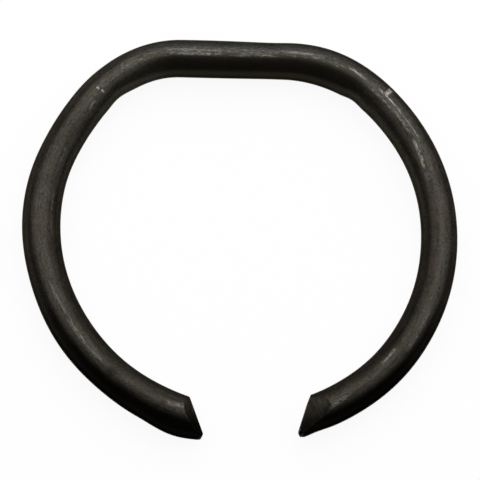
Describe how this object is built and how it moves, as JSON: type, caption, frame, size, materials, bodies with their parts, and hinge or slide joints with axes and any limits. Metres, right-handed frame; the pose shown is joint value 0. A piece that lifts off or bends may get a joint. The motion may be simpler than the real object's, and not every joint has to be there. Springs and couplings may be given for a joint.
{
  "type": "retaining ring",
  "caption": "Open snap ring of round, blackened spring-steel wire with a straight side and nipped ends, sprung into a groove to hold a part on a shaft.",
  "frame": {"origin": "centre of the ring's round part, at the middle of the wire's height", "axes": "+Z along the ring's axis, +Y towards the straight side, the gap towards -Y"},
  "size_m": [0.0592, 0.0558, 0.005],
  "materials": {
    "blackened_wire": "oil-blackened drawn spring-steel wire, satin, with fine lines along the wire and bright nicks"
  },
  "bodies": {
    "root": {"retaining_ring": "blackened_wire"}
  },
  "joints": []
}
